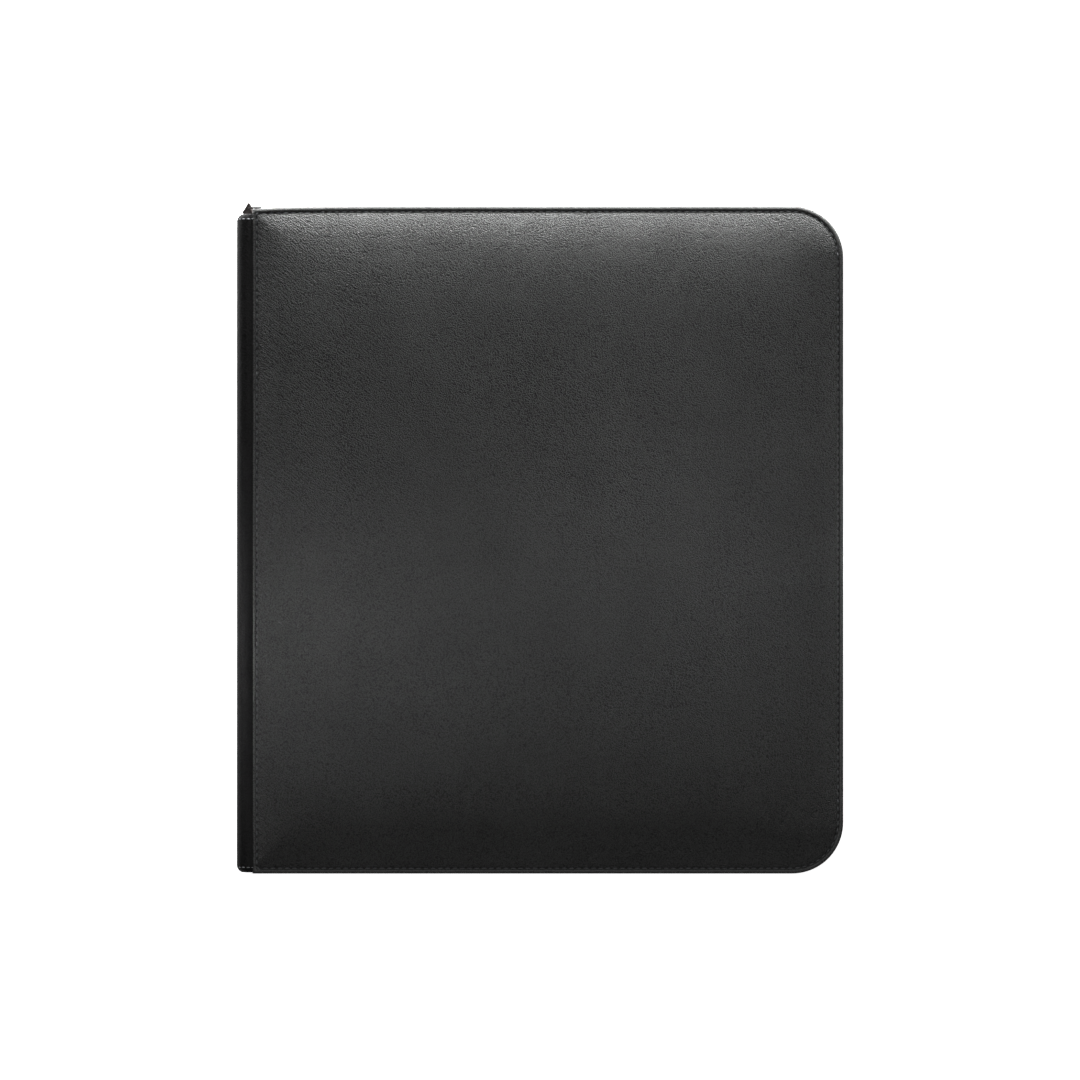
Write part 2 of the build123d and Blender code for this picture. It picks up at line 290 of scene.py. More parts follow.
class Shader:
    """A node graph that is filled one node at a time."""

    def __init__(self, name: str) -> None:
        """Start a material with an empty Principled shader.

        Args:
            name: Name of the material.
        """
        self.material = bpy.data.materials.new(name)
        self.material.use_nodes = True
        self.nodes = self.material.node_tree.nodes
        self.links = self.material.node_tree.links
        self.surface = next(n for n in self.nodes if n.type == "BSDF_PRINCIPLED")
        self.place = self.nodes.new("ShaderNodeTexCoord").outputs["Object"]

    def node(self, kind: str, inputs: dict | None = None, **settings) -> bpy.types.Node:
        """Add a node.

        Args:
            kind: Blender's name of the node type.
            inputs: Socket name or number to a value or an output to link from.
            **settings: Properties of the node itself.

        Returns:
            The new node.
        """
        made = self.nodes.new(kind)
        for key, value in settings.items():
            setattr(made, key, value)
        for key, value in (inputs or {}).items():
            if isinstance(value, bpy.types.NodeSocket):
                self.links.new(value, made.inputs[key])
            else:
                made.inputs[key].default_value = value
        return made

    def math(self, operation: str, first: object, second: object = 0.0) -> bpy.types.NodeSocket:
        """Output of one arithmetic step on two values or sockets."""
        return self.node("ShaderNodeMath", {0: first, 1: second}, operation=operation).outputs[0]

    def stretched(self, turn: float, scale: Sequence[float]) -> bpy.types.NodeSocket:
        """Object coordinates in which a pattern is turned about Z and drawn out by scale."""
        sizes = {0: self.place, "Rotation": (0, 0, turn), "Scale": scale}
        return self.node("ShaderNodeMapping", sizes, vector_type="TEXTURE").outputs[0]

    def warped(self, size: float, amount: float) -> bpy.types.NodeSocket:
        """Push the object coordinates about, so that a pattern on them isn't regular.

        Args:
            size: Size of the waves in metres.
            amount: The furthest push in metres.

        Returns:
            The moved coordinates.
        """
        waves = {"Vector": self.place, "Scale": 1 / size, "Detail": 2.0}
        field = self.node("ShaderNodeTexNoise", waves).outputs["Color"]
        push = self.node("ShaderNodeVectorMath", {0: field, "Scale": amount}, operation="SCALE").outputs[0]
        return self.node("ShaderNodeVectorMath", {0: self.place, 1: push}, operation="ADD").outputs[0]

    def noise(
        self, size: float, detail: float = 3.0, coordinates: bpy.types.NodeSocket | None = None
    ) -> bpy.types.NodeSocket:
        """Noise whose features are about size metres across."""
        settings = {"Vector": coordinates or self.place, "Scale": 1 / size, "Detail": detail}
        return self.node("ShaderNodeTexNoise", settings).outputs["Fac"]

    def cells(self, size: float, coordinates: bpy.types.NodeSocket | None = None) -> bpy.types.NodeSocket:
        """Rounded cells, for pebbles and bubbles.

        Args:
            size: About how wide a cell is, in metres.
            coordinates: Where the pattern lies, or None for the object's own coordinates.

        Returns:
            Distance from the middle of the cell.
        """
        settings = {"Vector": coordinates or self.place, "Scale": 1 / size}
        settings.update(Smoothness=0.6, Randomness=1.0)
        return self.node("ShaderNodeTexVoronoi", settings, feature="SMOOTH_F1").outputs["Distance"]

    def between(self, factor: object, low: float, high: float) -> bpy.types.NodeSocket:
        """Map a 0 to 1 factor onto a range."""
        return self.node("ShaderNodeMapRange", {0: factor, 3: low, 4: high}).outputs[0]

    def tint(self, factor: object, dark: Sequence[float], light: Sequence[float]) -> None:
        """Drive the base colour between two colours.

        Args:
            factor: 0 for the first colour, 1 for the second.
            dark: The first colour.
            light: The second colour.
        """
        mix = self.node("ShaderNodeMix", data_type="RGBA")
        self.links.new(factor, mix.inputs[0])
        mix.inputs[6].default_value = (*dark, 1)
        mix.inputs[7].default_value = (*light, 1)
        self.links.new(mix.outputs[2], self.surface.inputs["Base Color"])

    def relief(self, height: bpy.types.NodeSocket, depth: float, strength: object = 1.0) -> None:
        """Put a relief of the given real depth on the surface."""
        bump = self.node("ShaderNodeBump", {"Height": height, "Distance": depth, "Strength": strength})
        self.links.new(bump.outputs[0], self.surface.inputs["Normal"])

    def set(self, **values: object) -> None:
        """Set the shader's own sockets; an underscore stands for a space in a socket's name."""
        for key, value in values.items():
            socket = self.surface.inputs[key.replace("_", " ")]
            if isinstance(value, bpy.types.NodeSocket):
                self.links.new(value, socket)
            else:
                socket.default_value = value


@dataclass(frozen=True)
class Leatherette:
    """Black pebbled leatherette: rounded pebbles, pores, and slanting wrinkles towards the hinge."""

    name: str = "black_leatherette"
    dark: tuple[float, float, float] = (0.0015, 0.0015, 0.0016)
    light: tuple[float, float, float] = (0.048, 0.049, 0.048)
    pebble: float = 0.58 * MM
    pore: float = 0.3 * MM
    wrinkle: float = 1.4 * MM
    wrinkle_slant: float = -37.0
    fold_share: float = 1.6
    pore_share: float = 0.35
    wrinkled_from: float = -0.155
    wrinkled_to: float = -0.03
    patch: float = 30 * MM
    depth: float = 0.62 * MM
    roughness: tuple[float, float] = (0.44, 0.66)
    gloss: float = 0.42

    def build(self) -> bpy.types.Material:
        """Make the material.

        Returns:
            The finished material.
        """
        s = Shader(self.name)
        warped = s.warped(2.5 * self.pebble, 0.5 * self.pebble)
        pebbles = s.cells(self.pebble, warped)
        pores = s.noise(self.pore, 2.0)
        patches = s.noise(self.patch, 2.0)
        folds = s.cells(self.wrinkle, s.stretched(math.radians(self.wrinkle_slant), (2.6, 0.62, 1.0)))
        along = s.node("ShaderNodeSeparateXYZ", {0: s.place}).outputs[0]
        fading = {0: along, 1: self.wrinkled_from, 2: self.wrinkled_to, 3: 1.0, 4: 0.0}
        near_hinge = s.node("ShaderNodeMapRange", fading).outputs[0]
        folded = s.math("MULTIPLY", near_hinge, s.math("MULTIPLY", patches, -self.fold_share))
        folded = s.math("MULTIPLY", folds, folded)
        fine = s.math("ADD", s.math("MULTIPLY", pores, self.pore_share), folded)
        relief = s.math("ADD", s.math("MULTIPLY", pebbles, -1.0), fine)
        strength = s.node("ShaderNodeAttribute", attribute_name=GRAIN).outputs["Fac"]
        s.relief(relief, self.depth, strength)
        # Painted shade: the base colour darkens towards the valleys between the pebbles, where shade falls;
        # the broad patches add random tone on top.
        valley_shade_and_patches = s.math("ADD", s.math("MULTIPLY", pebbles, 1.1), s.math("MULTIPLY", patches, 0.25))
        s.tint(valley_shade_and_patches, self.light, self.dark)
        rubbed = s.math("ADD", s.math("MULTIPLY", pores, 0.5), s.math("MULTIPLY", pebbles, 0.6))
        s.set(Roughness=s.between(rubbed, *self.roughness))
        s.set(Specular_IOR_Level=self.gloss)
        return s.material


@dataclass(frozen=True)
class Thread:
    """Black bonded thread with a visible twist."""

    name: str = "black_thread"
    twist: float = 0.45 * MM

    def build(self) -> bpy.types.Material:
        """Make the material.

        Returns:
            The finished material.
        """
        s = Shader(self.name)
        turns = {"Vector": s.place, "Scale": 0.16 / self.twist, "Distortion": 1.5}
        strands = s.node("ShaderNodeTexWave", turns, bands_direction="DIAGONAL")
        fuzz = s.noise(0.25 * MM)
        s.relief(s.math("ADD", strands.outputs["Fac"], s.math("MULTIPLY", fuzz, 0.5)), 0.08 * MM)
        s.tint(fuzz, (0.03, 0.031, 0.033), (0.085, 0.088, 0.092))
        s.set(Roughness=s.between(fuzz, 0.35, 0.55))
        return s.material


@dataclass(frozen=True)
class HerringboneTape:
    """Zip tape: a herringbone weave that runs along the tape."""

    name: str = "herringbone_tape"
    rib: float = 0.9 * MM
    stripe: float = 3.0 * MM

    def build(self) -> bpy.types.Material:
        """Make the material.

        Returns:
            The finished material.
        """
        s = Shader(self.name)
        axes = s.node("ShaderNodeSeparateXYZ", {0: s.place}).outputs
        along = s.math("ADD", axes[0], axes[1])
        zigzag = s.math("PINGPONG", s.math("ADD", axes[2], 1.0), self.stripe)
        phase = s.math("MULTIPLY", s.math("ADD", along, zigzag), 2 * math.pi / self.rib)
        ribs = s.between(s.math("SINE", phase), 0.0, 1.0)
        fuzz = s.noise(0.4 * MM)
        s.relief(s.math("ADD", ribs, s.math("MULTIPLY", fuzz, 0.4)), 0.18 * MM)
        s.tint(s.math("MULTIPLY", ribs, fuzz), (0.0035, 0.0035, 0.0037), (0.014, 0.014, 0.0148))
        s.set(Roughness=s.between(fuzz, 0.75, 0.92), Specular_IOR_Level=0.3)
        s.set(Sheen_Weight=0.08, Sheen_Roughness=0.4)
        return s.material


@dataclass(frozen=True)
class LinerCloth:
    """Plain-woven lining cloth."""

    name: str = "lining_cloth"
    yarn: float = 0.7 * MM

    def build(self) -> bpy.types.Material:
        """Make the material.

        Returns:
            The finished material.
        """
        s = Shader(self.name)
        axes = s.node("ShaderNodeSeparateXYZ", {0: s.place}).outputs
        count = 2 * math.pi / self.yarn
        across = s.math("SINE", s.math("MULTIPLY", axes[0], count))
        upward = s.math("SINE", s.math("MULTIPLY", axes[1], count))
        weave = s.between(s.math("MULTIPLY", across, upward), 0.0, 1.0)
        fuzz = s.noise(0.5 * MM)
        s.relief(s.math("ADD", weave, s.math("MULTIPLY", fuzz, 0.6)), 0.12 * MM)
        s.tint(s.math("MULTIPLY", weave, fuzz), (0.009, 0.009, 0.0095), (0.03, 0.03, 0.031))
        s.set(Roughness=s.between(fuzz, 0.75, 0.95), Sheen_Weight=0.2)
        return s.material


@dataclass(frozen=True)
class Nylon:
    """Moulded or extruded black plastic with faint drawing lines."""

    name: str = "black_nylon"
    roughness: tuple[float, float] = (0.3, 0.5)
    grain: float = 0.6 * MM

    def build(self) -> bpy.types.Material:
        """Make the material.

        Returns:
            The finished material.
        """
        s = Shader(self.name)
        grain = s.noise(self.grain, 4.0)
        s.relief(grain, 0.03 * MM)
        s.tint(grain, (0.008, 0.008, 0.008), (0.022, 0.022, 0.023))
        s.set(Roughness=s.between(grain, *self.roughness))
        return s.material


@dataclass(frozen=True)
class Gunmetal:
    """Gunmetal plating, brushed along the pull and rubbed brighter in patches."""

    name: str = "gunmetal"
    dark: tuple[float, float, float] = (0.05, 0.044, 0.043)
    light: tuple[float, float, float] = (0.15, 0.13, 0.127)
    edge: tuple[float, float, float, float] = (0.06, 0.055, 0.055, 1)

    def build(self) -> bpy.types.Material:
        """Make the material.

        Returns:
            The finished material.
        """
        s = Shader(self.name)
        rubbed = s.noise(2.5 * MM, 4.0)
        brushed = s.noise(0.4 * MM, 2.0, s.stretched(0.0, (1.0, 10.0, 10.0)))
        s.relief(brushed, 0.02 * MM)
        s.tint(rubbed, self.dark, self.light)
        polish = s.math("MULTIPLY", rubbed, brushed)
        s.set(Metallic=1.0, Specular_Tint=self.edge, Roughness=s.between(polish, 0.28, 0.55))
        return s.material


@dataclass(frozen=True)
class PocketFilm:
    """Clear polypropylene film over the black core, seen as a deep gloss with haze and ripples."""

    name: str = "pocket_film"

    def build(self) -> bpy.types.Material:
        """Make the material.

        Returns:
            The finished material.
        """
        s = Shader(self.name)
        ripple = s.noise(22 * MM, 2.0)
        haze = s.noise(3 * MM, 4.0)
        s.relief(s.math("ADD", ripple, s.math("MULTIPLY", haze, 0.03)), 1.1 * MM)
        s.tint(haze, (0.016, 0.016, 0.017), (0.034, 0.034, 0.036))
        s.set(Roughness=s.between(haze, 0.07, 0.2), Coat_Weight=0.35, Coat_Roughness=0.08)
        return s.material


@dataclass(frozen=True)
class CoreSheet:
    """Black sheet between a leaf's two films, with a fine leathery print."""

    name: str = "leaf_core"

    def build(self) -> bpy.types.Material:
        """Make the material.

        Returns:
            The finished material.
        """
        s = Shader(self.name)
        grain = s.cells(0.9 * MM)
        s.relief(grain, 0.05 * MM)
        s.tint(grain, (0.02, 0.02, 0.021), (0.01, 0.01, 0.0105))
        s.set(Roughness=s.between(grain, 0.38, 0.6))
        return s.material


@dataclass(frozen=True)
class BlackBoard:
    """Bookbinder's board, dyed black, with its fibres."""

    name: str = "black_board"

    def build(self) -> bpy.types.Material:
        """Make the material.

        Returns:
            The finished material.
        """
        s = Shader(self.name)
        fibre = s.noise(1.2 * MM, 6.0, s.stretched(0.5, (1.0, 3.0, 1.0)))
        s.relief(fibre, 0.08 * MM)
        s.tint(fibre, (0.012, 0.012, 0.012), (0.04, 0.039, 0.038))
        s.set(Roughness=s.between(fibre, 0.8, 0.95))
        return s.material


@dataclass(frozen=True)
class Foam:
    """Black open-cell foam sheet."""

    name: str = "padding_foam"

    def build(self) -> bpy.types.Material:
        """Make the material.

        Returns:
            The finished material.
        """
        s = Shader(self.name)
        bubbles = s.cells(0.8 * MM)
        s.relief(bubbles, 0.2 * MM)
        s.tint(bubbles, (0.01, 0.01, 0.01), (0.035, 0.035, 0.036))
        s.set(Roughness=s.between(bubbles, 0.85, 0.98))
        return s.material


# ---------------------------------------------------------------- repeats along a path


class RepeatTree:
    """Geometry Nodes tree that sets small rounded beads along a path."""

    SIZES = ("Pitch", "Length", "Width", "Height", "Tilt", "Unevenness")

    def __init__(self, name: str, segments: int, rings: int) -> None:
        """Build the tree.

        Args:
            name: Name of the node group.
            segments: Faces round a bead.
            rings: Faces from end to end of a bead.
        """
        self.tree = bpy.data.node_groups.new(name, "GeometryNodeTree")
        faces = self.tree.interface
        faces.new_socket("Path", in_out="INPUT", socket_type="NodeSocketGeometry")
        for size in self.SIZES:
            faces.new_socket(size, in_out="INPUT", socket_type="NodeSocketFloat")
        faces.new_socket("Seed", in_out="INPUT", socket_type="NodeSocketInt")
        faces.new_socket("Finish", in_out="INPUT", socket_type="NodeSocketMaterial")
        faces.new_socket("Beads", in_out="OUTPUT", socket_type="NodeSocketGeometry")
        self.identifiers = {i.name: i.identifier for i in faces.items_tree if i.in_out == "INPUT"}
        self._fill(segments, rings)

    def _node(self, kind: str, links: dict, **settings) -> bpy.types.Node:
        """Add a node, set its properties and link its inputs.

        Args:
            kind: Blender's name of the node type.
            links: Socket name or number to a value or an output to link from.
            **settings: Properties of the node itself.

        Returns:
            The new node.
        """
        made = self.tree.nodes.new(kind)
        for key, value in settings.items():
            setattr(made, key, value)
        for key, value in links.items():
            if isinstance(value, bpy.types.NodeSocket):
                self.tree.links.new(value, made.inputs[key])
            else:
                made.inputs[key].default_value = value
        return made

    def _fill(self, segments: int, rings: int) -> None:
        """Lay out the nodes from the path to the dressed beads.

        Args:
            segments: Faces round a bead.
            rings: Faces from end to end of a bead.
        """
        sizes = self._node("NodeGroupInput", {}).outputs
        path = self._node("GeometryNodeMeshToCurve", {0: sizes["Path"]}).outputs[0]
        steps = {"Curve": path, "Length": sizes["Pitch"]}
        spaced = self._node("GeometryNodeResampleCurve", steps, mode="LENGTH").outputs[0]
        tangent = self._node("GeometryNodeInputTangent", {}).outputs[0]
        turned = self._node("FunctionNodeAlignRotationToVector", {"Vector": tangent}, axis="X").outputs[0]
        tilt = self._node("ShaderNodeCombineXYZ", {1: sizes["Tilt"]}).outputs[0]
        turns = {0: turned, 1: tilt}
        tilted = self._node("FunctionNodeRotateRotation", turns, rotation_space="LOCAL").outputs[0]
        bead = self._node("GeometryNodeMeshUVSphere", {0: segments, 1: rings, 2: 0.5}).outputs[0]
        extent = {0: sizes["Length"], 1: sizes["Width"], 2: sizes["Height"]}
        scale = self._node("ShaderNodeCombineXYZ", extent).outputs[0]
        shrink = {0: 1.0, 1: sizes["Unevenness"]}
        least = self._node("ShaderNodeMath", shrink, operation="SUBTRACT").outputs[0]
        spread = {"Min": least, "Max": 1.0, "Seed": sizes["Seed"]}
        factor = self._node("FunctionNodeRandomValue", spread, data_type="FLOAT")
        amount = next(o for o in factor.outputs if o.type == "VALUE" and o.enabled)
        resize = {0: scale, "Scale": amount}
        uneven = self._node("ShaderNodeVectorMath", resize, operation="SCALE").outputs[0]
        beads = {"Points": spaced, "Instance": bead, "Rotation": tilted, "Scale": uneven}
        placed = self._node("GeometryNodeInstanceOnPoints", beads).outputs[0]
        real = self._node("GeometryNodeRealizeInstances", {0: placed}).outputs[0]
        coat = {"Geometry": real, "Material": sizes["Finish"]}
        dressed = self._node("GeometryNodeSetMaterial", coat).outputs[0]
        self._node("NodeGroupOutput", {0: dressed})

    def along(
        self,
        name: str,
        path: np.ndarray,
        closed: bool,
        finish: bpy.types.Material,
        seed: int = 7,
        **sizes: float,
    ) -> bpy.types.Object:
        """Set beads along a path and return them as a plain mesh.

        Args:
            name: Name of the piece.
            path: Points of the path, one row each.
            closed: Whether the path's end joins its start.
            finish: Material of the beads.
            seed: Seed of the uneven sizes.
            **sizes: Values for the tree's named sizes, in lower case.

        Returns:
            The beads as one object.
        """
        count = len(path)
        edges = [(i, i + 1) for i in range(count - 1)] + ([(count - 1, 0)] if closed else [])
        mesh = bpy.data.meshes.new(name)
        mesh.from_pydata([tuple(p) for p in path], edges, [])
        piece = bpy.data.objects.new(name, mesh)
        bpy.context.scene.collection.objects.link(piece)
        modifier = piece.modifiers.new("beads", "NODES")
        modifier.node_group = self.tree
        for size in self.SIZES:
            modifier[self.identifiers[size]] = float(sizes.get(size.lower(), 0.0))
        modifier[self.identifiers["Seed"]] = seed
        modifier[self.identifiers["Finish"]] = finish
        make_plain(piece)
        return piece


# ---------------------------------------------------------------- outlines


@dataclass(frozen=True)
class PanelOutline:
    """Outline of a cover: square at the spine side, round at both fore-edge corners."""

    case: CaseSize
    long_side: int = 84
    short_side: int = 78
    corner: int = 22

    def loop(self, left: float, inset: float) -> np.ndarray:
        """Points round the outline, the same number at every inset.

        Args:
            left: X of the spine side.
            inset: How far inside the cover's edge the other three sides run.

        Returns:
            Points as rows of X and Y, clockwise from the spine side's head corner.
        """
        case = self.case
        right = case.fore_x - inset
        top = case.head_y - inset
        radius = max(case.corner_radius - inset, 0.6 * MM)
        turns = np.linspace(0, math.pi / 2, self.corner + 1)[:-1]
        head_x = np.linspace(left, right - radius, self.short_side + 1)[:-1]
        side_y = np.linspace(top - radius, radius - top, self.long_side + 1)[:-1]
        back_y = np.linspace(-top, top, self.long_side + self.corner + 1)[:-1]
        bend_x, bend_y = right - radius, top - radius
        upper = np.column_stack([bend_x + radius * np.sin(turns), bend_y + radius * np.cos(turns)])
        lower = np.column_stack([bend_x + radius * np.cos(turns), -bend_y - radius * np.sin(turns)])
        tail_x = np.linspace(bend_x, left, self.short_side + 1)[:-1]
        parts = [
            np.column_stack([head_x, np.full_like(head_x, top)]),
            upper,
            np.column_stack([np.full_like(side_y, right), side_y]),
            lower,
            np.column_stack([tail_x, np.full_like(tail_x, -top)]),
            np.column_stack([np.full_like(back_y, left), back_y]),
        ]
        return np.concatenate(parts)

    @property
    def spine_side(self) -> slice:
        """Places in a loop of the points on the spine side, without the head corner."""
        total = 2 * self.short_side + 2 * self.long_side + self.corner * 3
        return slice(total - self.long_side - self.corner + 1, total)

    def open_path(self, left_head: float, left_tail: float, inset: float) -> np.ndarray:
        """Path along the head, the fore edge and the tail.

        Args:
            left_head: X where the path starts at the head.
            left_tail: X where it ends at the tail.
            inset: How far inside the cover's edge it runs.

        Returns:
            Points as rows of X and Y.
        """
        loop = self.loop(left_tail, inset)[: self.spine_side.start]
        keep = (loop[:, 0] > left_head) | (loop[:, 1] < 0)
        return np.concatenate([[[left_head, loop[0, 1]]], loop[keep]])


# ---------------------------------------------------------------- covers


@dataclass
class Cover:
    """One padded cover: leatherette skin over foam and board, lined inside and stitched round."""

    case: CaseSize
    side: Side
    stitches: RepeatTree
    welt_radius: float = 1.25 * MM
    under_radius: float = 0.9 * MM
    turn_middle: float = 3.5 * MM
    groove_depth: float = 0.85 * MM
    groove_half: float = 0.6 * MM
    roll_height: float = 1.4 * MM
    roll_reach: float = 5.5 * MM
    crown_height: float = 2.3 * MM
    crown_reach: float = 24 * MM
    stitch_pitch: float = 3.85 * MM
    stitch_depth: float = 0.3 * MM
    foam_inset: float = 1.4 * MM
    foam_depth: float = 1.0 * MM
    sunk_share: float = 0.12
    welt_grain: float = 0.3
    corner_draw: float = 1.3 * MM
    corner_reach: float = 22 * MM
    ring_count: int = 44
    first_ring: float = 0.5 * MM
    last_ring: float = 150 * MM

    def crown(self, inset: np.ndarray, place: np.ndarray) -> np.ndarray:
        """How far the leather stands out at points inside the stitch line.

        Args:
            inset: Distance of each point from the cover's edge.
            place: X and Y of each point.

        Returns:
            Height of each point above the cover's nominal face.
        """
        case, border = self.case, self.case.stitch_inset + self.groove_half
        run = np.maximum(inset - border, 0)
        x, y = place[:, 0], place[:, 1]
        sides = (x - case.stitch_x - self.groove_half, case.fore_x - border - x)
        ends = (case.head_y - border - y, case.head_y - border + y)
        share = np.ones(len(place))
        for distance in (*sides, *ends):
            share *= 1 - np.exp(-np.maximum(distance, 0) / self.crown_reach)
        crown = self.crown_height * (1 + 0.25 * y / case.head_y)
        roll = self.roll_height * (1 - np.exp(-run / self.roll_reach))
        return roll + (crown + self.undulation(place)) * share * ease(run / (1.5 * MM))

    def undulation(self, place: np.ndarray) -> np.ndarray:
        """Slow waves that foam under leather shows.

        Args:
            place: X and Y of each point.

        Returns:
            Height of the waves at each point.
        """
        x, y = place[:, 0], place[:, 1]
        waves = np.sin(x / (31 * MM) + 0.8 + 1.2 * np.sin(y / (83 * MM)))
        slow = np.sin(y / (47 * MM) - x / (71 * MM) + 2.1)
        return 0.06 * MM * waves + 0.08 * MM * slow

    def drawn(self, loop: np.ndarray) -> np.ndarray:
        """Draw the head corner beside the hinge in, as the zip's end pulls it.

        Args:
            loop: X and Y of each point.

        Returns:
            The moved points.
        """
        moved = loop.copy()
        near_seam = np.exp(-(loop[:, 0] - self.case.seam_x) / self.corner_reach)
        near_head = ease(1 - (self.case.head_y - loop[:, 1]) / self.corner_reach)
        moved[:, 1] -= self.corner_draw * near_seam * near_head
        return moved

    def rings(self) -> list[tuple[float, float, bool]]:
        """Insets and depths from the turned-in edge, round the welt and in to the middle.

        Returns:
            For each ring its inset, its depth under the nominal face, and whether it is on the outer face.
        """
        depth, welt = self.case.cover_depth, self.welt_radius
        found = [(self.case.turn_in, depth - self.case.skin, False)]
        under = self.under_radius
        found += [(self.case.turn_in, depth, False), (self.turn_middle, depth, False)]
        found.append((under + 0.2 * MM, depth, False))
        for turn in np.radians([20, 45, 70, 90]):
            found.append((under * (1 - math.sin(turn)), depth - under * (1 - math.cos(turn)), False))
        found.append((0.0, depth / 2, False))
        for turn in np.radians([0, 18, 36, 54, 72, 90]):
            found.append((welt * (1 - math.cos(turn)), welt * (1 - math.sin(turn)), False))
        middle, half = self.case.stitch_inset, self.groove_half
        found.append(((welt + middle - half) / 2, 0.03 * MM, False))
        for share, drop in ((-1.0, 0.15), (-0.6, 0.7), (-0.2, 1.0), (0.2, 1.0), (0.6, 0.7)):
            found.append((middle + share * half, drop * self.groove_depth, False))
        inner = np.geomspace(self.first_ring, self.last_ring, self.ring_count) - self.first_ring
        found += [(middle + half + step, 0.0, True) for step in inner]
        return found

    def left_of(self, inset: float, depth: float) -> float:
        """X of a ring's spine side.

        Args:
            inset: How far inside the cover's edge the ring runs.
            depth: The ring's depth under the nominal face.

        Returns:
            Where the ring's spine side stands.
        """
        case = self.case
        if depth > 1.3 * MM:
            return case.seam_x
        reach = (case.stitch_x - case.seam_x) / case.stitch_inset
        return case.seam_x + min(inset, case.stitch_inset) * reach + max(inset - case.stitch_inset, 0)

    def skin(self) -> bpy.types.Object:
        """Build the leatherette skin.

        Returns:
            The skin as one closed-edged shell.
        """
        case, outline = self.case, PanelOutline(self.case)
        layers, grain = [], []
        for inset, depth, face in self.rings():
            loop = outline.loop(self.left_of(inset, depth), inset)
            depths = np.full(len(loop), depth)
            if face:
                depths = -self.crown(np.full(len(loop), inset), loop)
            depths[outline.spine_side] = np.minimum(depths[outline.spine_side], 1.25 * MM)
            layers.append((loop, depths))
            grain.append(np.full(len(loop), 1.0 if face else self.welt_grain))
        last, depths = layers[-1]
        centre_x = (last[:, 0].min() + last[:, 0].max()) / 2
        spread = (last[:, 1].max() - last[:, 1].min() - (last[:, 0].max() - last[:, 0].min())) / 2
        closing = np.column_stack([np.full(len(last), centre_x), np.clip(last[:, 1], -spread, spread)])
        layers.append((closing, depths))
        grain.append(np.ones(len(closing)))
        lift = 0.0
        if self.side is Side.BACK:
            lift = max(-d.min() for _, d in layers)
        points = []
        for loop, depths in layers:
            height = case.face_z(self.side) - self.side.outward * self.sunk(depths, lift)
            points.append(np.column_stack([self.drawn(loop), height]))
        columns = len(points[0])
        faces = lattice_faces(len(points), columns, wrap=True)
        piece = mesh_object(f"{self.side.value}_cover_leather", np.concatenate(points), faces)
        set_grain(piece, np.concatenate(grain))
        tidy_mesh(piece)
        self.face_outwards(piece)
        return piece

    def sunk(self, depths: np.ndarray, lift: float) -> np.ndarray:
        """Depths pressed flat where the cover lies on a surface.

        Args:
            depths: Depth of each point under the nominal face, negative where it stands out.
            lift: The most that the crown stands out, or 0 on the upper cover.

        Returns:
            Depths with the crown pressed level with the nominal face.
        """
        if not lift:
            return depths
        return np.maximum(depths, 0.0) + self.sunk_share * (depths + lift) * (depths < 0)

    def face_outwards(self, piece: bpy.types.Object) -> None:
        """Turn the open shell's faces away from the board.

        Args:
            piece: The skin.
        """
        outer = [p for p in piece.data.polygons if abs(p.normal.z) > 0.9]
        middle = max(outer, key=lambda p: p.center.z * self.side.outward)
        if middle.normal.z * self.side.outward < 0:
            piece.data.flip_normals()

    def foam(self) -> bpy.types.Object:
        """Cut the foam sheet under the skin, drawn in at the head corner with it.

        Returns:
            The foam as a closed sheet.
        """
        case = self.case
        loop = self.drawn(PanelOutline(case).loop(case.seam_x + self.foam_inset, self.foam_inset))
        count = len(loop)
        layers = []
        for depth in (case.skin, case.skin + self.foam_depth):
            height = case.face_z(self.side) - self.side.outward * depth
            layers.append(np.column_stack([loop, np.full(count, height)]))
        faces = lattice_faces(2, count, wrap=True)
        faces += [tuple(range(count)), tuple(range(2 * count - 1, count - 1, -1))]
        piece = mesh_object(f"{self.side.value}_cover_foam", np.concatenate(layers), faces, smooth=False)
        tidy_mesh(piece)
        return piece

    def stitching(self, finish: bpy.types.Material) -> bpy.types.Object:
        """Sew the row of stitches round the cover.

        Args:
            finish: The thread's material.

        Returns:
            The stitches as one object.
        """
        case = self.case
        loop = PanelOutline(case).loop(case.stitch_x, case.stitch_inset)
        height = case.face_z(self.side) - self.side.outward * self.stitch_depth
        path = np.column_stack([self.drawn(loop), np.full(len(loop), height)])
        sizes = {"pitch": self.stitch_pitch, "length": 2.9 * MM, "width": 0.72 * MM, "height": 0.6 * MM}
        name = f"{self.side.value}_edge_stitches"
        return self.stitches.along(name, path, True, finish, unevenness=0.12, **sizes)

    def build(
        self, leather: bpy.types.Material, thread: bpy.types.Material, foam: bpy.types.Material
    ) -> None:
        """Build and dress the cover's leather, foam and stitching.

        Args:
            leather: The skin's material.
            thread: The stitches' material.
            foam: The foam's material.
        """
        skin = self.skin()
        skin.data.materials.append(leather)
        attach(skin, self.side.body)
        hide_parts(f"{self.side.value}_cover_skin")
        pad = self.foam()
        pad.data.materials.append(foam)
        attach(pad, self.side.body)
        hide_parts(f"{self.side.value}_cover_padding")
        row = self.stitching(thread)
        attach(row, self.side.body)
        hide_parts(f"{self.side.value}_edge_thread")
        counts = (len(skin.data.polygons), len(row.data.polygons))
        LOG.info("%s cover: %d faces of leather, %d of stitching", self.side.value, *counts)


# ---------------------------------------------------------------- hinge leather


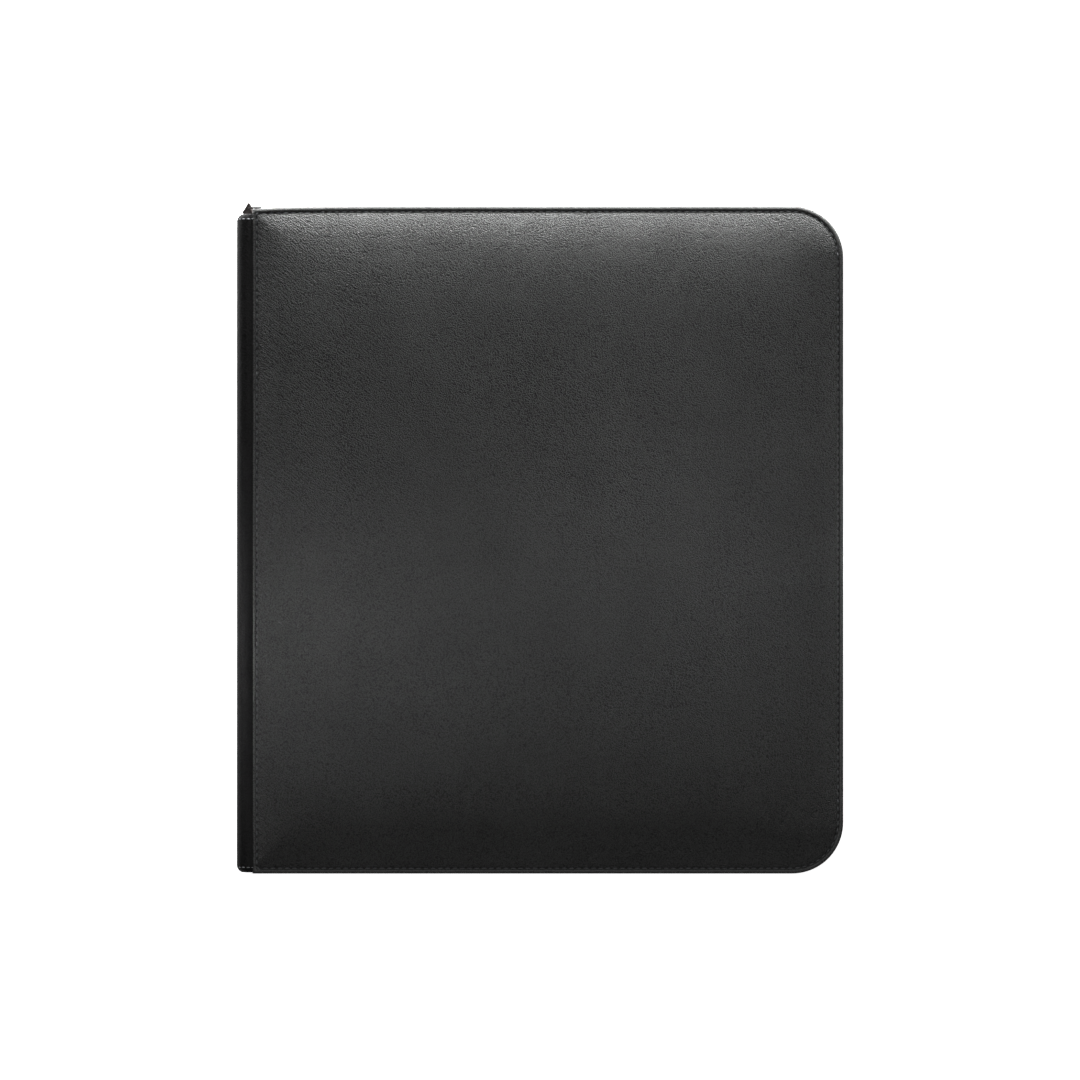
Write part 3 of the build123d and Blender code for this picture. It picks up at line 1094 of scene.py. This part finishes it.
@dataclass
class HingeLeather:
    """The separate leather strip over the spine, bending at both covers, pillowed at its ends."""

    case: CaseSize
    side: Side
    stitches: RepeatTree
    end_round: float = 4.2 * MM
    end_draw: float = 3.6 * MM
    end_stitch: float = 2.6 * MM
    seam_dip: float = 0.35 * MM
    end_thickness: float = 0.55 * MM
    tucked_under: float = 0.25 * MM
    stitch_lift: float = 0.05 * MM

    def section(self, offset: float) -> np.ndarray:
        """Half of the strip's section, from the seam to the middle of the spine.

        Args:
            offset: How far inside the outer face it runs.

        Returns:
            Points as rows of distance from the spine's face and depth from the cover's face.
        """
        radius = self.case.hinge_radius
        seam = self.case.seam_x - self.case.spine_x + self.tucked_under
        flat = np.linspace(seam, radius, 10)[:-1]
        dip = self.seam_dip * ease((flat - radius) / (seam - radius))
        turns = np.linspace(0, math.pi / 2, 22)
        down = np.linspace(radius, self.case.middle_z, 12)[1:]
        top = np.column_stack([flat, offset + dip])
        inner = radius - offset
        bend = np.column_stack([radius - inner * np.sin(turns), radius - inner * np.cos(turns)])
        face = np.column_stack([np.full_like(down, offset), down])
        return np.concatenate([top, bend, face])

    def stations(self) -> np.ndarray:
        """Places along Y, closer together at both pillowed ends.

        Returns:
            The places, from the tail to the head.
        """
        case = self.case
        near = self.end_round * np.sin(np.linspace(0, math.pi / 2, 14))
        head = case.strip_head_y - self.end_round + near
        tail = case.strip_tail_y + self.end_round - near
        middle = np.linspace(tail[0], head[0], 90)[1:-1]
        return np.concatenate([tail[::-1], middle, head])

    def drawn_in(self, y: float) -> float:
        """How far the leather is drawn in at a place along Y.

        Args:
            y: The place.

        Returns:
            The distance that it is drawn in.
        """
        case = self.case
        past = max(y - (case.strip_head_y - self.end_round), (case.strip_tail_y + self.end_round) - y, 0.0)
        share = min(past / self.end_round, 1.0)
        return self.end_draw * (1 - math.sqrt(1 - share * share))

    def surface(self, offset: float) -> np.ndarray:
        """Lattice of one face of the strip.

        Args:
            offset: How far inside the outer face it runs.

        Returns:
            Points, stations by section places by three.
        """
        case = self.case
        section = self.section(offset)
        rows = []
        for y in self.stations():
            draw = self.drawn_in(y)
            across = section[:, 0] + draw * ease(1 - section[:, 0] / (1.4 * case.hinge_radius))
            depth = section[:, 1] + 0.3 * draw * ease(1 - section[:, 1] / (2.0 * case.hinge_radius))
            wave = 0.06 * MM * math.sin(y / (19 * MM)) + 0.05 * MM * math.sin(y / (7.3 * MM) + 1.0)
            depth = depth + wave * ease(section[:, 0] / (3 * MM))
            height = case.face_z(self.side) - self.side.outward * depth
            rows.append(np.column_stack([case.spine_x + across, np.full(len(section), y), height]))
        return np.array(rows)

    def build(self, leather: bpy.types.Material, thread: bpy.types.Material) -> None:
        """Build and dress half of the strip.

        Args:
            leather: The strip's material.
            thread: The end stitches' material.
        """
        case = self.case
        name = self.side.value
        strip = thick_sheet(f"{name}_hinge_leather", self.surface(0.0), self.surface(self.end_thickness))
        strip.data.materials.append(leather)
        start = (case.spine_x, 0, case.face_z(self.side) - self.side.outward * case.hinge_radius)
        end = (case.spine_x + case.hinge_radius, 0, case.face_z(self.side))
        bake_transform(strip)
        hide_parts(f"{name}_hinge_strip", "spine_strip")
        rows = {"head": case.strip_head_y - self.end_stitch, "tail": case.strip_tail_y + self.end_stitch}
        for end_name, y in rows.items():
            section = self.section(self.stitch_lift)[:-4]
            across = section[:, 0] + self.drawn_in(y) * ease(1 - section[:, 0] / (1.4 * case.hinge_radius))
            height = case.face_z(self.side) - self.side.outward * section[:, 1]
            path = np.column_stack([case.spine_x + across, np.full(len(section), y), height])
            sizes = {"pitch": 2.4 * MM, "length": 1.9 * MM, "width": 0.5 * MM, "height": 0.4 * MM}
            row_name = f"{name}_{end_name}_end_stitches"
            row = self.stitches.along(row_name, path, False, thread, unevenness=0.1, **sizes)
            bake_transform(row)
        LOG.info("%s hinge leather: %d faces", name, len(strip.data.polygons))


# ---------------------------------------------------------------- zip


@dataclass
class ZipChain:
    """Both rows of the zip's coil, the stops and the end tab."""

    case: CaseSize
    teeth: RepeatTree
    turn_pitch: float = 1.27 * MM
    wire: float = 0.98 * MM
    turn_tilt: float = 0.16
    row_width: float = 1.9 * MM
    head_start: float = 22.5 * MM

    def row(self, side: Side, finish: bpy.types.Material) -> bpy.types.Object:
        """Wind one row of the coil along its tape.

        Args:
            side: The cover whose tape carries the row.
            finish: The coil's material.

        Returns:
            The row as one object.
        """
        node = f"{side.value}_zip_coil"
        low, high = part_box(node)
        thickness = self.row_width
        inset = self.case.head_y - high.y + thickness / 2
        head_start = low.x if side is Side.BACK else self.case.spine_x + self.head_start
        plan = PanelOutline(self.case, long_side=60, short_side=60).open_path(head_start, low.x, inset)
        path = np.column_stack([plan, np.full(len(plan), (low.z + high.z) / 2)])
        sizes = {"pitch": self.turn_pitch, "length": self.wire, "width": thickness}
        sizes.update(height=high.z - low.z, tilt=self.turn_tilt * side.outward)
        piece = self.teeth.along(f"{side.value}_coil_turns", path, False, finish, **sizes)
        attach(piece, side.body)
        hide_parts(node)
        return piece

    def build(self, nylon: bpy.types.Material, metal: bpy.types.Material, tape: bpy.types.Material) -> None:
        """Build and dress the chain, its stops and its tab.

        Args:
            nylon: The coil's material.
            metal: The stops' material.
            tape: The tab's material.
        """
        for side in Side:
            row = self.row(side, nylon)
            LOG.info("%s coil: %d faces", side.value, len(row.data.polygons))
            stop = bevelled_copy(f"{side.value}_zip_end_stop", f"{side.value}_end_stop_clip", 0.15 * MM)
            self.dress(stop, metal, side.body, f"{side.value}_zip_end_stop", "zip_metal")
        start = bevelled_copy("zip_start_stop", "start_stop_clip", 0.18 * MM)
        self.dress(start, metal, "back_cover", "zip_start_stop", "zip_metal")
        tab = bevelled_copy("zip_end_tab", "fabric_end_tab", 0.2 * MM)
        self.dress(tab, tape, "back_cover", "zip_end_tab", "zip_tape")

    @staticmethod
    def dress(piece: bpy.types.Object, finish: bpy.types.Material, body: str, node: str, slot: str) -> None:
        """Give a small piece its material and body, and hide its CAD node.

        Args:
            piece: The piece.
            finish: Its material.
            body: The body that it rides on.
            node: The CAD node that it stands for.
            slot: Not used.
        """
        piece.data.materials.append(finish)
        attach(piece, body)
        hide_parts(node)


@dataclass
class Slider:
    """The zip's slider, its bail and the pull with its faceted head."""

    case: CaseSize
    head_left: float = 2.4 * MM
    head_right: float = 9.0 * MM
    head_base: float = 172.4 * MM
    head_tip: float = 178.1 * MM
    wall: float = 1.5 * MM
    ridge_rise: float = 1.3 * MM
    ridge_in: float = 0.9 * MM
    tip_across: float = 6.25 * MM
    tip_half: float = 0.35 * MM
    beam_width: float = 1.0 * MM
    beam_gap: float = 0.15 * MM
    pivot_from_beam: float = 0.6 * MM

    def pull_head(self) -> bpy.types.Object:
        """Shape the faceted head above the bail, notched where the bail's beam passes at full swing.

        Returns:
            The head as a closed solid.
        """
        low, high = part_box("zip_slider_bail")
        beam_y = high.y - self.beam_width
        pivot_x = low.x + self.pivot_from_beam
        floor = high.z + self.beam_gap
        left, right = self.case.spine_x + self.head_left, self.case.spine_x + self.head_right
        tip_x = self.case.spine_x + self.tip_across
        ring = [(left, self.head_base), (right, self.head_base), (tip_x + self.tip_half, self.head_tip)]
        ring += [(tip_x - self.tip_half, self.head_tip)]
        points = [(x, y, floor) for x, y in ring] + [(x, y, floor + self.wall) for x, y in ring]
        points.append((right - self.ridge_in, self.head_base, floor + self.wall + self.ridge_rise))
        points.append((tip_x, self.head_tip - 0.7 * MM, floor + self.wall + 0.5 * self.ridge_rise))
        faces = [(3, 2, 1, 0), (0, 1, 5, 4), (1, 2, 6, 5), (2, 3, 7, 6), (3, 0, 4, 7)]
        faces += [(4, 5, 8), (5, 6, 9, 8), (6, 7, 9), (7, 4, 8, 9)]
        head = mesh_object("pull_tag_head", np.array(points), faces, smooth=False)
        notch_low = (pivot_x, beam_y - self.beam_gap, floor - 1 * MM)
        notch_high = (right + 1 * MM, high.y + self.beam_gap, floor + 9 * MM)
        notch = mesh_object("notch", box_corners(notch_low, notch_high), BOX_SIDES, smooth=False)
        for piece in (head, notch):
            tidy_mesh(piece)
        cut = head.modifiers.new("notch", "BOOLEAN")
        cut.operation, cut.solver, cut.object = "DIFFERENCE", "EXACT", notch
        round_off = head.modifiers.new("round_off", "BEVEL")
        round_off.width, round_off.segments, round_off.limit_method = 0.12 * MM, 2, "ANGLE"
        make_plain(head)
        head.data.polygons.foreach_set("use_smooth", [False] * len(head.data.polygons))
        bpy.data.objects.remove(notch)
        return head

    def build(self, metal: bpy.types.Material, dark_metal: bpy.types.Material) -> None:
        """Build and dress the slider's pieces.

        Args:
            metal: The pull's material.
            dark_metal: The slider's and the bail's material, a darker copy of the gunmetal whose dark
                colour is painted shade.
        """
        rounded = (
            ("zip_slider", "slider_body", 0.35 * MM, 4, dark_metal, "zip_slider"),
            ("zip_slider_bail", "slider_bail", 0.3 * MM, 3, dark_metal, "zip_slider"),
            ("zip_pull", "pull_tag", 0.28 * MM, 3, metal, "zip_pull"),
        )
        for node, name, width, segments, finish, body in rounded:
            ZipChain.dress(bevelled_copy(node, name, width, segments), finish, body, node, "zip_metal")
        head = self.pull_head()
        head.data.materials.clear()
        head.data.materials.append(metal)
        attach(head, "zip_pull")
        LOG.info("slider, bail and pull")


# ---------------------------------------------------------------- leaves


@dataclass
class PocketLeaf:
    """One leaf: a black core sheet with twelve film pockets on each face."""

    number: int
    columns: int = 4
    rows: int = 3
    weld: float = 3 * MM
    film_start: float = 21 * MM
    core_half: float = 0.16 * MM
    puff: float = 0.22 * MM
    cells: int = 7

    @property
    def node(self) -> str:
        """Name of the leaf's CAD node and body."""
        return f"leaf_{self.number:02d}"

    def pocket(
        self, x0: float, x1: float, y0: float, y1: float, z: float, up: float
    ) -> tuple[np.ndarray, list[tuple]]:
        """One pocket's film, puffed between its welds and open along the spine side.

        Args:
            x0: Spine side of the pocket.
            x1: Fore side.
            y0: Tail side.
            y1: Head side.
            z: Height of the core's face.
            up: Sign of Z on the way out of the leaf.

        Returns:
            Points and faces of the film.
        """
        steps = np.linspace(0, 1, self.cells)
        u, v = np.meshgrid(steps, steps, indexing="ij")
        lip = 0.35 + 0.65 * np.sin(np.pi * np.clip(u * 0.5 + 0.5, 0, 1))
        height = 0.06 * MM + self.puff * np.sin(np.pi * v) ** 0.6 * lip * (u < 1)
        points = np.stack([x0 + u * (x1 - x0), y0 + v * (y1 - y0), z + up * height], axis=-1)
        return points.reshape(-1, 3), lattice_faces(self.cells, self.cells, flip=up < 0)

    def build(self, film: bpy.types.Material, core: bpy.types.Material) -> None:
        """Build and dress the leaf.

        Args:
            film: The pockets' material.
            core: The core sheet's material.
        """
        low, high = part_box(self.node)
        middle, half = (low.z + high.z) / 2, self.core_half
        points = [box_corners((low.x, low.y, middle - half), (high.x, high.y, middle + half))]
        faces = list(BOX_SIDES)
        core_faces = len(faces)
        first_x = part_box("spine_strip")[0].x + self.film_start + self.weld
        pitch_x = (high.x - first_x) / self.columns
        pitch_y = (high.y - low.y - self.weld) / self.rows
        count = len(points[0])
        for up, column, row in itertools.product((1.0, -1.0), range(self.columns), range(self.rows)):
            x0 = first_x + column * pitch_x
            y0 = low.y + self.weld + row * pitch_y
            ends = (x0, x0 + pitch_x - self.weld, y0, y0 + pitch_y - self.weld)
            film_points, film_faces = self.pocket(*ends, middle + up * half, up)
            faces += [tuple(i + count for i in f) for f in film_faces]
            points.append(film_points)
            count += len(film_points)
        leaf = mesh_object(f"{self.node}_pockets", np.concatenate(points), faces)
        leaf.data.materials.append(core)
        leaf.data.materials.append(film)
        slots = [0] * core_faces + [1] * (len(faces) - core_faces)
        leaf.data.polygons.foreach_set("material_index", slots)
        leaf.data.polygons.foreach_set("use_smooth", [bool(s) for s in slots])
        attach(leaf, self.node)
        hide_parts(self.node)


# ---------------------------------------------------------------- studio


@dataclass
class Studio:
    """White floor, soft lights and the camera straight above the front cover."""

    view_width: float = 569.8 * MM
    camera_height: float = 20.0
    sensor: float = 36.0
    fill: float = 0.06
    flag_gap: float = 12 * MM
    flag_below: float = 2.5 * MM
    flag_start: float = 8 * MM

    def floor(self) -> None:
        """Lay the floor, which looks white but throws little light up."""
        s = Shader("studio_floor")
        s.tint(s.noise(0.2), (0.80, 0.80, 0.80), (0.82, 0.82, 0.82))
        glow = s.between(s.node("ShaderNodeLightPath").outputs["Is Camera Ray"], 0.1, 1.0)
        s.set(Roughness=0.9, Emission_Color=(1, 1, 1, 1), Emission_Strength=glow)
        corners = np.array([(-6, -6, 0), (6, -6, 0), (6, 6, 0), (-6, 6, 0)], float)
        corners[:, 2] = -0.3 * MM
        plane = mesh_object("studio_floor", corners, [(0, 1, 2, 3)], smooth=False)
        plane.data.materials.append(s.material)

    def flag(self, case: CaseSize) -> None:
        """Stand a black card that keeps the low head lights off the zip tapes.

        Args:
            case: The case's sizes.
        """
        s = Shader("black_card")
        s.tint(s.noise(0.05), (0.0, 0.0, 0.0), (0.001, 0.001, 0.001))
        s.set(Roughness=1.0, Specular_IOR_Level=0.0)
        y, top = case.head_y + self.flag_gap, case.thickness - self.flag_below
        left = case.seam_x + self.flag_start
        corners = np.array([(left, y, 0.0), (0.45, y, 0.0), (0.45, y, top), (left, y, top)])
        card = mesh_object("studio_flag", corners, [(0, 1, 2, 3)], smooth=False)
        card.data.materials.append(s.material)
        card.visible_camera = False
        card.visible_glossy = False
        card.visible_diffuse = False

    def surroundings(self) -> None:
        """Surround the scene with white that throws little light."""
        world = bpy.data.worlds.new("studio")
        world.use_nodes = True
        tree = world.node_tree
        background = tree.nodes["Background"]
        background.inputs["Color"].default_value = (1, 1, 1, 1)
        path = tree.nodes.new("ShaderNodeLightPath")
        dimmed = tree.nodes.new("ShaderNodeMapRange")
        dimmed.inputs[3].default_value = self.fill
        tree.links.new(path.outputs["Is Camera Ray"], dimmed.inputs[0])
        tree.links.new(dimmed.outputs[0], background.inputs["Strength"])
        bpy.context.scene.world = world

    def light(
        self,
        name: str,
        place: Sequence[float],
        aim: Sequence[float],
        size: Sequence[float],
        watts: float,
        spread: float = 180,
        glints: bool = True,
    ) -> None:
        """Hang a soft box.

        Args:
            name: Name of the light.
            place: Where it hangs.
            aim: The point that it faces.
            size: Width and height.
            watts: Its power.
            spread: Angle of its beam in degrees.
            glints: Whether glossy surfaces mirror it.
        """
        lamp = bpy.data.lights.new(name, "AREA")
        lamp.shape = "RECTANGLE"
        lamp.size, lamp.size_y = size
        lamp.energy = watts
        lamp.spread = math.radians(spread)
        holder = bpy.data.objects.new(name, lamp)
        holder.visible_camera = False
        holder.visible_glossy = glints
        holder.location = place
        holder.rotation_euler = (Vector(aim) - Vector(place)).to_track_quat("-Z", "Y").to_euler()
        bpy.context.scene.collection.objects.link(holder)

    def camera(self, face_height: float) -> None:
        """Set the camera straight above the front cover.

        Args:
            face_height: Height of the front cover's outer face.
        """
        data = bpy.data.cameras.new("camera")
        data.sensor_width = self.sensor
        data.lens = self.sensor * (self.camera_height - face_height) / self.view_width
        data.clip_end = 50
        eye = bpy.data.objects.new("camera", data)
        eye.location = (0, 0, self.camera_height)
        bpy.context.scene.collection.objects.link(eye)
        bpy.context.scene.camera = eye

    def build(self, case: CaseSize) -> None:
        """Set up the floor, the surroundings, the lights and the camera.

        Args:
            case: The case's sizes.
        """
        self.floor()
        self.flag(case)
        self.surroundings()
        low = ((0.0, 0.8, 0.05), (0.0, 0.17, 0.036), (0.8, 0.06))
        self.light("head_rim_light", *low, 215, glints=False)
        self.light("head_glint_light", *low, 9)
        self.light("top_softbox", (0.12, 0.45, 3.2), (0, 0, 0), (0.9, 0.9), 44)
        self.light("spine_softbox", (-0.8, -0.08, 0.6), (-0.135, -0.05, 0.04), (0.1, 0.1), 0.045, 12)
        self.light("side_softbox", (0.75, 0.1, 0.9), (0.07, -0.01, 0.04), (0.1, 0.1), 0.035, 12)
        self.camera(case.thickness)
        bpy.context.scene.view_settings.view_transform = "Standard"


# ---------------------------------------------------------------- the binder


class Binder:
    """The whole trading card binder."""

    PLAIN_NODES = {
        "lining_cloth": ("back_cover_liner", "front_cover_liner", "spine_liner"),
        "black_board": ("back_cover_board", "front_cover_board", "spine_board"),
        "herringbone_tape": ("back_zip_tape", "front_zip_tape"),
        "black_nylon": ("binding_strip",),
    }

    def __init__(self) -> None:
        """Read the case's sizes, mix the finishes and make the two repeat trees."""
        self.case = CaseSize.from_frame()
        # The hinge strip's finer, smoother grain is its own; its much darker colour is painted shade, for
        # the strip lying in shadow and turning away from the lights.
        shaded_strip_leather = Leatherette(
            name="shaded_spine_leatherette",
            dark=(0.001, 0.001, 0.001),
            light=(0.006, 0.006, 0.0062),
            pebble=0.8 * MM,
            pore=0.4 * MM,
            wrinkled_to=-0.150,
            depth=0.14 * MM,
            roughness=(0.5, 0.66),
            gloss=0.12,
        )
        # Painted shade: the same gunmetal made much darker for the slider and its bail, so they read as
        # shaded beside the pull.
        shaded_slider_metal = Gunmetal(
            name="shaded_slider_gunmetal",
            dark=(0.014, 0.013, 0.013),
            light=(0.045, 0.041, 0.04),
            edge=(0.02, 0.019, 0.019, 1),
        )
        finishes = (Leatherette(), shaded_strip_leather, shaded_slider_metal, Thread(), HerringboneTape(), LinerCloth())
        finishes += (Nylon(), Gunmetal(), PocketFilm(), CoreSheet(), BlackBoard(), Foam())
        self.finish = {f.name: f.build() for f in finishes}
        self.stitches = RepeatTree("stitches_along_path", 8, 6)
        self.teeth = RepeatTree("coil_turns_along_path", 8, 6)

    def dress_plain_nodes(self) -> None:
        """Give the CAD nodes that stay their finishes."""
        for finish, nodes in self.PLAIN_NODES.items():
            for node in nodes:
                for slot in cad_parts[node].material_slots:
                    slot.material = self.finish[finish]

    def build(self) -> None:
        """Build every sub-assembly."""
        finish = self.finish
        leather, thread = finish["black_leatherette"], finish["black_thread"]
        for side in Side:
            Cover(self.case, side, self.stitches).build(leather, thread, finish["padding_foam"])
            HingeLeather(self.case, side, self.stitches).build(finish["shaded_spine_leatherette"], thread)
        chain = ZipChain(self.case, self.teeth)
        chain.build(finish["black_nylon"], finish["gunmetal"], finish["herringbone_tape"])
        Slider(self.case).build(finish["gunmetal"], finish["shaded_slider_gunmetal"])
        leaves = [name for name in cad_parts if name.startswith("leaf_")]
        for number in range(1, len(leaves) + 1):
            PocketLeaf(number).build(finish["pocket_film"], finish["leaf_core"])
        LOG.info("%d leaves", len(leaves))
        self.dress_plain_nodes()


def main() -> None:
    """Build the binder and the studio."""
    logging.basicConfig(level=logging.INFO, format="%(message)s")
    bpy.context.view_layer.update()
    binder = Binder()
    binder.build()
    Studio().build(binder.case)


if __name__ == "__main__":
    main()
